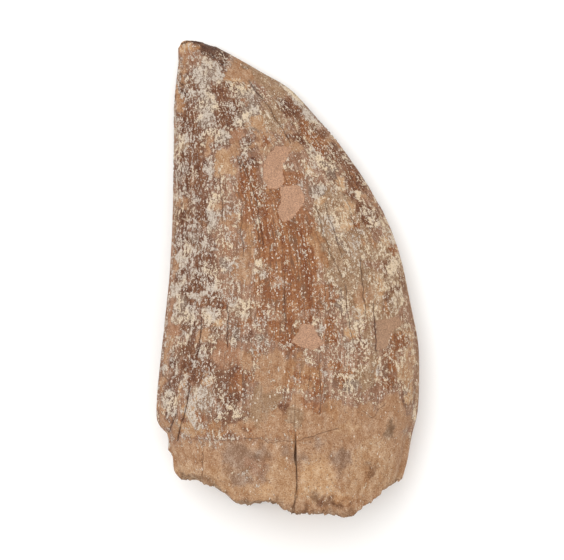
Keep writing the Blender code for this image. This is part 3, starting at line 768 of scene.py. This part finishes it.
    ("umber", 0.00, 9.4, -47.2, 0.9, 0.4, -20),
    ("umber", 0.00, 5.3, -45.7, 0.5, 0.25, 0),
    # painted shade: a darker band along the torn bottom rim, where the slanted break face turns down away
    # from the light.
    ("painted_shade", 0.00, 3.0, -49.6, 10.0, 0.8, 0),
    ("umber", 0.00, 3.6, -48.6, 0.8, 0.3, 0),
    # painted shade: the slanted break face seen past the lower left rim, darker still in its pockets.
    ("painted_shade", 0.00, -13.2, -46.2, 4.8, 0.6, -42),
    ("painted_shade", 0.00, -5.6, -47.7, 4.4, 0.7, 0),
    ("umber", 0.00, -14.4, -44.2, 0.8, 0.4, 0),
    ("umber", 0.00, -3.2, -47.0, 1.2, 0.4, 0),
    ("umber", 0.00, -7.4, -47.6, 0.8, 0.3, 0),
    ("umber", 0.00, 23.0, -42.9, 0.4, 0.3, 0),
    # painted shade: a dark band on the face under the lower left corner.
    ("painted_shade", 0.00, -20.4, -42.3, 3.0, 0.4, 0),
)
WALL_STAIN, HOLLOW_STAIN, SKIN_STAIN = "dove", "sand", "chestnut"
HALF_THICKNESS = 11.5  # of the root at the break
# How gradually one stain gives way to the next, on the crown and on the root.
RIM_SOFTNESS, ROOT_SOFTNESS = 0.35, 0.9
BARE_CRUST, BARE_DOTS = 0.24, 0.3  # crust and white dots where no patch lies
CRUST_SPREAD = 0.046  # turns a share of cover into a height of the noise that the crust is cut from


def linear(hex_colour):
    """An sRGB hex colour as linear red, green and blue."""
    parts = [int(hex_colour[i : i + 2], 16) / 255 for i in (1, 3, 5)]
    return np.array([p / 12.92 if p <= 0.04045 else ((p + 0.055) / 1.055) ** 2.4 for p in parts])


ground = np.tile(linear(STAIN[GROUND][0]), (len(moved), 1))
crust, salt, sandy = (np.full(len(moved), bare) for bare in (BARE_CRUST, BARE_DOTS, 0.0))
softness = RIM_SOFTNESS + (ROOT_SOFTNESS - RIM_SOFTNESS) * root
for name, cover, at_x, at_y, half_x, half_y, turn in PATCHES:
    stain, dots, sand = STAIN[name]
    turned = math.radians(turn)
    dx, dy = spots[:, 0] - at_x, spots[:, 1] - at_y
    across = (dx * math.cos(turned) + dy * math.sin(turned)) / half_x
    up = (dy * math.cos(turned) - dx * math.sin(turned)) / half_y
    out = (np.hypot(across, up) - 1) * min(half_x, half_y)
    weight = 1 - ease(-softness, softness, out)
    ground += weight[:, None] * (linear(stain) - ground)
    crust += weight * (cover - crust)
    salt += weight * (dots - salt)
    sandy += weight * (sand - sandy)

# On the break a wall of dentine, brown at its inner skin, stands around the hollow that filled with sand.
inward = 1 - np.hypot((share - 0.5) / 0.5, (z - middle) / HALF_THICKNESS) + 0.06 * wander(places, 3.0, 44.0)
hollow = ease(0.24, 0.34, inward)
inner_skin = 0.7 * (1 - ease(0.02, 0.07, np.abs(inward - 0.29)))
for name, weight in ((WALL_STAIN, torn), (HOLLOW_STAIN, torn * hollow), (SKIN_STAIN, torn * inner_skin)):
    ground += weight[:, None] * (linear(STAIN[name][0]) - ground)
crust *= 1 - torn
salt *= 1 - torn
sandy = np.maximum(sandy, root)


def keep(name, kind, values):
    """Stores one value for each vertex of the tooth under a name that the material reads."""
    layer = surface.attributes.new(name, kind, "POINT")
    field = {"FLOAT": "value", "FLOAT_VECTOR": "vector", "FLOAT_COLOR": "color"}[kind]
    layer.data.foreach_set(field, np.ascontiguousarray(values, dtype=np.float32).ravel())


crack_gap = np.hypot(*crack_way.T)
crack_far = ease(0.35, 0.75, crack_gap)
crack_way *= np.minimum(1.0, 1.0 / np.maximum(crack_gap, 1e-6))[:, None]
keep("ground", "FLOAT_COLOR", np.column_stack((ground, np.ones(len(ground)))))
keep("grain", "FLOAT_VECTOR", grain)
likely = np.clip(crust, 0.002, 0.96)
crust_level = 0.5 - CRUST_SPREAD * np.log(likely / (1 - likely))
keep("cover", "FLOAT_VECTOR", np.stack((crust_level, sandy, np.clip(flaked, -2.0, 2.0)), axis=1))
keep("salt", "FLOAT", salt)
keep("crack", "FLOAT_VECTOR", np.stack((crack_way[:, 0], crack_way[:, 1], crack_far), axis=1))
keep("crack_half_width", "FLOAT", crack_half_width)

# Mineralised enamel: apatite stained by iron, silk-dull, with growth streaks along the blade, a pale ragged
# lime crust that stands a little proud, and pink-tan stone where enamel has flaked off. On the root it gives
# way to bare stone and sand, which is duller and speckled. One material, because one passes into the other.
CRUST_PATCH, CRUST_CLUSTER = 0.55, 2.4  # width of the crust's islands, and of the places where they crowd
CRUST_CREAM, CRUST_GREY, FILM_GREY, DOT_WHITE = "#cdb99e", "#baad9f", "#8c7767", "#cbbbaa"
DOT_SPACING = 0.44
FLAKED_ROSE, FLAKED_BROWN = "#ab8469", "#9d7b61"
CRACK_DARK, PIT_DARK = "#44261a", "#5f3f2b"
STREAK_WIDTH, STREAK_LENGTH = 0.45, 8.0
GROWTH_LINE_GAP = 1.1
CLOUD_WIDTH = 1.3
PIT_WIDTH = 0.34
SAND_GRAIN = 0.22  # fine sand
ENAMEL_IOR = 1.6
WEATHERED_GLOSS = 0.22  # the etched surface throws back less mirror light than polished enamel, which has 0.5

enamel = bpy.data.materials.new("mineralised_enamel")
enamel.use_nodes = True
enamel.node_tree.nodes.clear()


def add(kind, inputs=(), **settings):
    """Adds a node with its settings, and sets or links its inputs by name or number."""
    node = enamel.node_tree.nodes.new(kind)
    for name, value in settings.items():
        setattr(node, name, value)
    for name, value in dict(inputs).items():
        if isinstance(value, bpy.types.NodeSocket):
            enamel.node_tree.links.new(value, node.inputs[name])
        else:
            node.inputs[name].default_value = value
    return node


def colour_value(hex_colour):
    """An sRGB hex colour as a linear colour socket's value."""
    return (*linear(hex_colour), 1.0)


in_metres = add("ShaderNodeTexCoord").outputs["Object"]
at = add("ShaderNodeVectorMath", {0: in_metres, "Scale": 1000.0}, operation="SCALE").outputs[0]
upright = add("ShaderNodeVectorMath", {0: at, 1: (1.0, 0.6, 1.0)}, operation="MULTIPLY").outputs[0]
stain = add("ShaderNodeAttribute", attribute_name="ground").outputs["Color"]
along = add("ShaderNodeAttribute", attribute_name="grain").outputs["Vector"]
cover = add("ShaderNodeAttribute", attribute_name="cover").outputs["Vector"]
level, sandy_share, scar = add("ShaderNodeSeparateXYZ", {0: cover}).outputs
dotted = add("ShaderNodeAttribute", attribute_name="salt").outputs["Fac"]
crack_at = add("ShaderNodeAttribute", attribute_name="crack").outputs["Vector"]
crack_half = add("ShaderNodeAttribute", attribute_name="crack_half_width").outputs["Fac"]

# Deeper and paler stain: clouds, bands and streaks along the blade, and grains. A deeper one is browner too.
cloud = add(
    "ShaderNodeTexNoise", {"Vector": upright, "Scale": 1 / CLOUD_WIDTH, "Detail": 4.0, "Roughness": 0.7}
).outputs[0]
fine = add(
    "ShaderNodeTexNoise", {"Vector": at, "Scale": 1 / SAND_GRAIN, "Detail": 2.0, "Roughness": 0.7}
).outputs[0]
streak_at = add(
    "ShaderNodeVectorMath", {0: along, 1: (1 / STREAK_WIDTH, 1 / STREAK_LENGTH, 0.2)}, operation="MULTIPLY"
).outputs[0]
streak = add(
    "ShaderNodeTexNoise", {"Vector": streak_at, "Scale": 1.0, "Detail": 4.0, "Roughness": 0.6}
).outputs[0]
band_at = add("ShaderNodeVectorMath", {0: along, 1: (0.5, 0.03, 0.1)}, operation="MULTIPLY").outputs[0]
band = add(
    "ShaderNodeTexNoise", {"Vector": band_at, "Scale": 1.0, "Detail": 3.0, "Roughness": 0.6}
).outputs[0]
enamel_share = add("ShaderNodeMath", {0: 1.0, 1: sandy_share}, operation="SUBTRACT").outputs[0]
streaks = add("ShaderNodeMath", {0: streak, 1: band}, operation="ADD").outputs[0]
streaks = add("ShaderNodeMapRange", {0: streaks, 1: 0.8, 2: 1.2, 3: 0.17, 4: -0.15}).outputs[0]
clouds = add("ShaderNodeMapRange", {0: cloud, 1: 0.35, 2: 0.65, 3: 1.24, 4: 0.80}).outputs[0]
grains = add("ShaderNodeMapRange", {0: fine, 1: 0.3, 2: 0.7, 3: 0.30, 4: -0.26}).outputs[0]
depth = add("ShaderNodeMath", {0: streaks, 1: enamel_share, 2: clouds}, operation="MULTIPLY_ADD").outputs[0]
depth = add("ShaderNodeMath", {0: depth, 1: grains}, operation="ADD").outputs[0]
mineral = add("ShaderNodeGamma", {0: stain, 1: depth}).outputs[0]

# Fine dark growth lines along the enamel, which come and go.
line_at = add(
    "ShaderNodeVectorMath", {0: along, 1: (1 / GROWTH_LINE_GAP, 1 / 14.0, 0.2)}, operation="MULTIPLY"
).outputs[0]
line = add("ShaderNodeTexNoise", {"Vector": line_at, "Scale": 1.0, "Detail": 1.0}).outputs[0]
line = add("ShaderNodeMath", {0: line, 1: 0.5, 2: 0.06}, operation="COMPARE").outputs[0]
line_most = add("ShaderNodeMapRange", {0: cloud, 1: 0.44, 2: 0.58, 3: 0.0, 4: 0.75}).outputs[0]
for share in (enamel_share, line_most):
    line = add("ShaderNodeMath", {0: line, 1: share}, operation="MULTIPLY").outputs[0]
mineral = add("ShaderNodeMix", {0: line, 6: mineral, 7: colour_value(PIT_DARK)}, data_type="RGBA").outputs[2]

# The lime crust: a thin grey film, and islands of noise above the level that each place was given.
islands = add(
    "ShaderNodeTexNoise", {"Vector": upright, "Scale": 1 / CRUST_PATCH, "Detail": 4.0, "Roughness": 0.75}
).outputs[0]
crowd = add("ShaderNodeTexNoise", {"Vector": upright, "Scale": 1 / CRUST_CLUSTER, "Detail": 2.0}).outputs[0]
for part, share in ((fine, 0.35), (streak, 0.18), (crowd, 0.35)):
    islands = add("ShaderNodeMath", {0: part, 1: share, 2: islands}, operation="MULTIPLY_ADD").outputs[0]
islands = add("ShaderNodeMath", {0: islands, 1: 0.44}, operation="SUBTRACT").outputs[0]
over = add("ShaderNodeMath", {0: islands, 1: level}, operation="SUBTRACT").outputs[0]
crusted = add(
    "ShaderNodeMapRange", {0: over, 1: -0.010, 2: 0.014, 3: 0.0, 4: 0.95}, interpolation_type="SMOOTHSTEP"
).outputs[0]
film_most = add("ShaderNodeMapRange", {0: level, 1: 0.49, 2: 0.54, 3: 0.55, 4: 0.0}).outputs[0]
filmed = add("ShaderNodeMapRange", {0: over, 1: -0.09, 2: 0.0, 3: 0.0, 4: film_most}).outputs[0]
frontward = add("ShaderNodeSeparateXYZ", {0: at}).outputs[0]
crust_hue = add("ShaderNodeTexNoise", {"Vector": at, "Scale": 1 / 4.0, "Detail": 3.0}).outputs[0]
crust_hue = add(
    "ShaderNodeMath", {0: frontward, 1: -0.004, 2: crust_hue}, operation="MULTIPLY_ADD"
).outputs[0]
crust_hue = add("ShaderNodeMapRange", {0: crust_hue, 1: 0.42, 2: 0.62}).outputs[0]
crust_colour = add(
    "ShaderNodeMix",
    {0: crust_hue, 6: colour_value(CRUST_CREAM), 7: colour_value(CRUST_GREY)},
    data_type="RGBA",
).outputs[2]
crust_grains = add("ShaderNodeMapRange", {0: fine, 1: 0.3, 2: 0.7, 3: 1.35, 4: 0.75}).outputs[0]
crust_colour = add("ShaderNodeGamma", {0: crust_colour, 1: crust_grains}).outputs[0]
colour = add(
    "ShaderNodeMix", {0: filmed, 6: mineral, 7: colour_value(FILM_GREY)}, data_type="RGBA"
).outputs[2]
colour = add("ShaderNodeMix", {0: crusted, 6: colour, 7: crust_colour}, data_type="RGBA").outputs[2]

# White dots of lime, the first grains of the crust.
dot_at = add("ShaderNodeTexNoise", {"Vector": at, "Scale": 1 / 0.5, "Detail": 2.0}).outputs[1]
dot_at = add(
    "ShaderNodeVectorMath", {0: dot_at, 1: (0.6, 0.6, 0.6), 2: upright}, operation="MULTIPLY_ADD"
).outputs[0]
dot = add("ShaderNodeTexVoronoi", {"Vector": dot_at, "Scale": 1 / DOT_SPACING})
chance, smaller, _ = add("ShaderNodeSeparateXYZ", {0: dot.outputs["Color"]}).outputs
dot_far = add(
    "ShaderNodeMath", {0: smaller, 1: 0.22, 2: dot.outputs["Distance"]}, operation="MULTIPLY_ADD"
).outputs[0]
in_rows = add("ShaderNodeMapRange", {0: streak, 1: 0.42, 2: 0.58, 3: 0.1, 4: 1.9}).outputs[0]
chosen = add("ShaderNodeMath", {0: dotted, 1: in_rows}, operation="MULTIPLY").outputs[0]
chosen = add("ShaderNodeMath", {0: chance, 1: chosen}, operation="LESS_THAN").outputs[0]
dots = add("ShaderNodeMapRange", {0: dot_far, 1: 0.45, 2: 0.30}, interpolation_type="SMOOTHSTEP").outputs[0]
dots = add("ShaderNodeMath", {0: dots, 1: chosen}, operation="MULTIPLY").outputs[0]
colour = add("ShaderNodeMix", {0: dots, 6: colour, 7: colour_value(DOT_WHITE)}, data_type="RGBA").outputs[2]

# Small dark pits and grains all over.
pits = add(
    "ShaderNodeTexNoise", {"Vector": at, "Scale": 1 / PIT_WIDTH, "Detail": 2.0, "Roughness": 0.6}
).outputs[0]
pits = add("ShaderNodeMapRange", {0: pits, 1: 0.58, 2: 0.66, 3: 0.0, 4: 0.6}).outputs[0]
colour = add("ShaderNodeMix", {0: pits, 6: colour, 7: colour_value(PIT_DARK)}, data_type="RGBA").outputs[2]

# Places where enamel has flaked off: even, pinkish, with a crisp rim.
scar_edge = add("ShaderNodeMapRange", {0: fine, 1: 0.3, 2: 0.7, 3: -0.10, 4: 0.10}).outputs[0]
scar_edge = add("ShaderNodeMath", {0: scar, 1: scar_edge}, operation="ADD").outputs[0]
flaked_off = add(
    "ShaderNodeMapRange", {0: scar_edge, 1: -0.05, 2: 0.10}, interpolation_type="SMOOTHSTEP"
).outputs[0]
browner = add("ShaderNodeMapRange", {0: frontward, 1: 12.0, 2: 14.0}).outputs[0]
flaked_colour = add(
    "ShaderNodeMix",
    {0: browner, 6: colour_value(FLAKED_ROSE), 7: colour_value(FLAKED_BROWN)},
    data_type="RGBA",
).outputs[2]
flaked_tone = add("ShaderNodeMapRange", {0: fine, 1: 0.3, 2: 0.7, 3: 0.50, 4: 1.42}).outputs[0]
flaked_colour = add(
    "ShaderNodeVectorMath", {0: flaked_colour, "Scale": flaked_tone}, operation="SCALE"
).outputs[0]
colour = add("ShaderNodeMix", {0: flaked_off, 6: colour, 7: flaked_colour}, data_type="RGBA").outputs[2]

# Cracks: dark where they are open, broken into longer and shorter pieces.
gap = add("ShaderNodeVectorMath", {0: crack_at}, operation="LENGTH").outputs["Value"]
gap = add("ShaderNodeMath", {0: gap, 1: crack_half}, operation="DIVIDE").outputs[0]
cracked = add(
    "ShaderNodeMapRange", {0: gap, 1: 0.5, 2: 1.3, 3: 1.0, 4: 0.0}, interpolation_type="SMOOTHSTEP"
).outputs[0]
crack_most = add("ShaderNodeMapRange", {0: crack_half, 1: 0.05, 2: 0.12, 3: 0.45, 4: 0.95}).outputs[0]
crack_runs = add("ShaderNodeMapRange", {0: fine, 1: 0.44, 2: 0.54, 3: 0.30, 4: crack_most}).outputs[0]
cracked = add("ShaderNodeMath", {0: cracked, 1: crack_runs}, operation="MULTIPLY").outputs[0]
colour = add(
    "ShaderNodeMix", {0: cracked, 6: colour, 7: colour_value(CRACK_DARK)}, data_type="RGBA"
).outputs[2]

# Crust and sand are duller than enamel. Crust and grains stand a little proud, and cracks lie deeper.
rough = add("ShaderNodeMath", {0: crusted, 1: sandy_share}, operation="MAXIMUM").outputs[0]
rough = add("ShaderNodeMapRange", {0: rough, 3: 0.62, 4: 0.90}).outputs[0]
proud = add("ShaderNodeMath", {0: crusted, 1: 0.05}, operation="MULTIPLY").outputs[0]
proud = add("ShaderNodeMath", {0: cloud, 1: 0.10, 2: proud}, operation="MULTIPLY_ADD").outputs[0]
proud = add("ShaderNodeMath", {0: fine, 1: 0.06, 2: proud}, operation="MULTIPLY_ADD").outputs[0]
proud = add("ShaderNodeMath", {0: cracked, 1: -0.12, 2: proud}, operation="MULTIPLY_ADD").outputs[0]
feel = add("ShaderNodeBump", {"Strength": 0.8, "Distance": MM, "Height": proud}).outputs["Normal"]
shader = add(
    "ShaderNodeBsdfPrincipled",
    {
        "Base Color": colour,
        "Roughness": rough,
        "Metallic": 0.0,
        "IOR": ENAMEL_IOR,
        "Specular IOR Level": WEATHERED_GLOSS,
        "Normal": feel,
    },
)
add("ShaderNodeOutputMaterial", {"Surface": shader.outputs["BSDF"]})

surface.materials.clear()
surface.materials.append(enamel)
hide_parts("tooth")
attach(tooth, "root")

# -----------------------------------------------------------------------------------------------------------
# The stage: a plain pale floor, a wide soft light from above and a little to the left, and an even room.
FLOOR_HALF = 1.5
FLOOR_COLOUR = "#fbfaf8"
ROOM_STRENGTH = 1.0
SOFTBOX_PLACE, SOFTBOX_WIDTH, SOFTBOX_WATTS = (-0.22, 0.25, 0.92), 0.9, 4.6

stage = bmesh.new()
bmesh.ops.create_grid(stage, x_segments=1, y_segments=1, size=FLOOR_HALF)
floor_mesh = bpy.data.meshes.new("floor")
stage.to_mesh(floor_mesh)
stage.free()
floor = bpy.data.objects.new("floor", floor_mesh)
bpy.context.scene.collection.objects.link(floor)
paper = bpy.data.materials.new("matt_paper")
paper.use_nodes = True
paper_shader = paper.node_tree.nodes["Principled BSDF"]
paper_shader.inputs["Base Color"].default_value = colour_value(FLOOR_COLOUR)
paper_shader.inputs["Roughness"].default_value = 0.9
floor_mesh.materials.append(paper)

room = bpy.data.worlds.new("room")
room.use_nodes = True
room.node_tree.nodes["Background"].inputs["Color"].default_value = (1.0, 1.0, 1.0, 1.0)
room.node_tree.nodes["Background"].inputs["Strength"].default_value = ROOM_STRENGTH
bpy.context.scene.world = room
softbox = bpy.data.objects.new("softbox", bpy.data.lights.new("softbox", "AREA"))
softbox.data.shape = "DISK"
softbox.data.size = SOFTBOX_WIDTH
softbox.data.energy = SOFTBOX_WATTS
softbox.location = SOFTBOX_PLACE
softbox.rotation_mode = "QUATERNION"
softbox.rotation_quaternion = (-Vector(SOFTBOX_PLACE)).to_track_quat("-Z", "Y")
bpy.context.scene.collection.objects.link(softbox)
bpy.context.scene.view_settings.view_transform = "Standard"

# The camera looks straight down on the lying tooth, from far enough that nothing is drawn wide.
PICTURE_WIDTH, PIXELS_PER_MM = 564, 4.75
FRAME_WIDTH = PICTURE_WIDTH / PIXELS_PER_MM  # across the picture, at the height of the cutting edges
CAMERA_LENS, CAMERA_AIM, CAMERA_PLANE = 300.0, (-1.26, -0.53), 9.0
camera = bpy.data.objects.new("camera", bpy.data.cameras.new("camera"))
camera.data.lens = CAMERA_LENS
camera_height = CAMERA_LENS / camera.data.sensor_width * FRAME_WIDTH + CAMERA_PLANE
camera.location = Vector((CAMERA_AIM[0], CAMERA_AIM[1], camera_height)) * MM
camera.data.clip_start = 0.05
camera.data.clip_end = 10.0
bpy.context.scene.collection.objects.link(camera)
bpy.context.scene.camera = camera
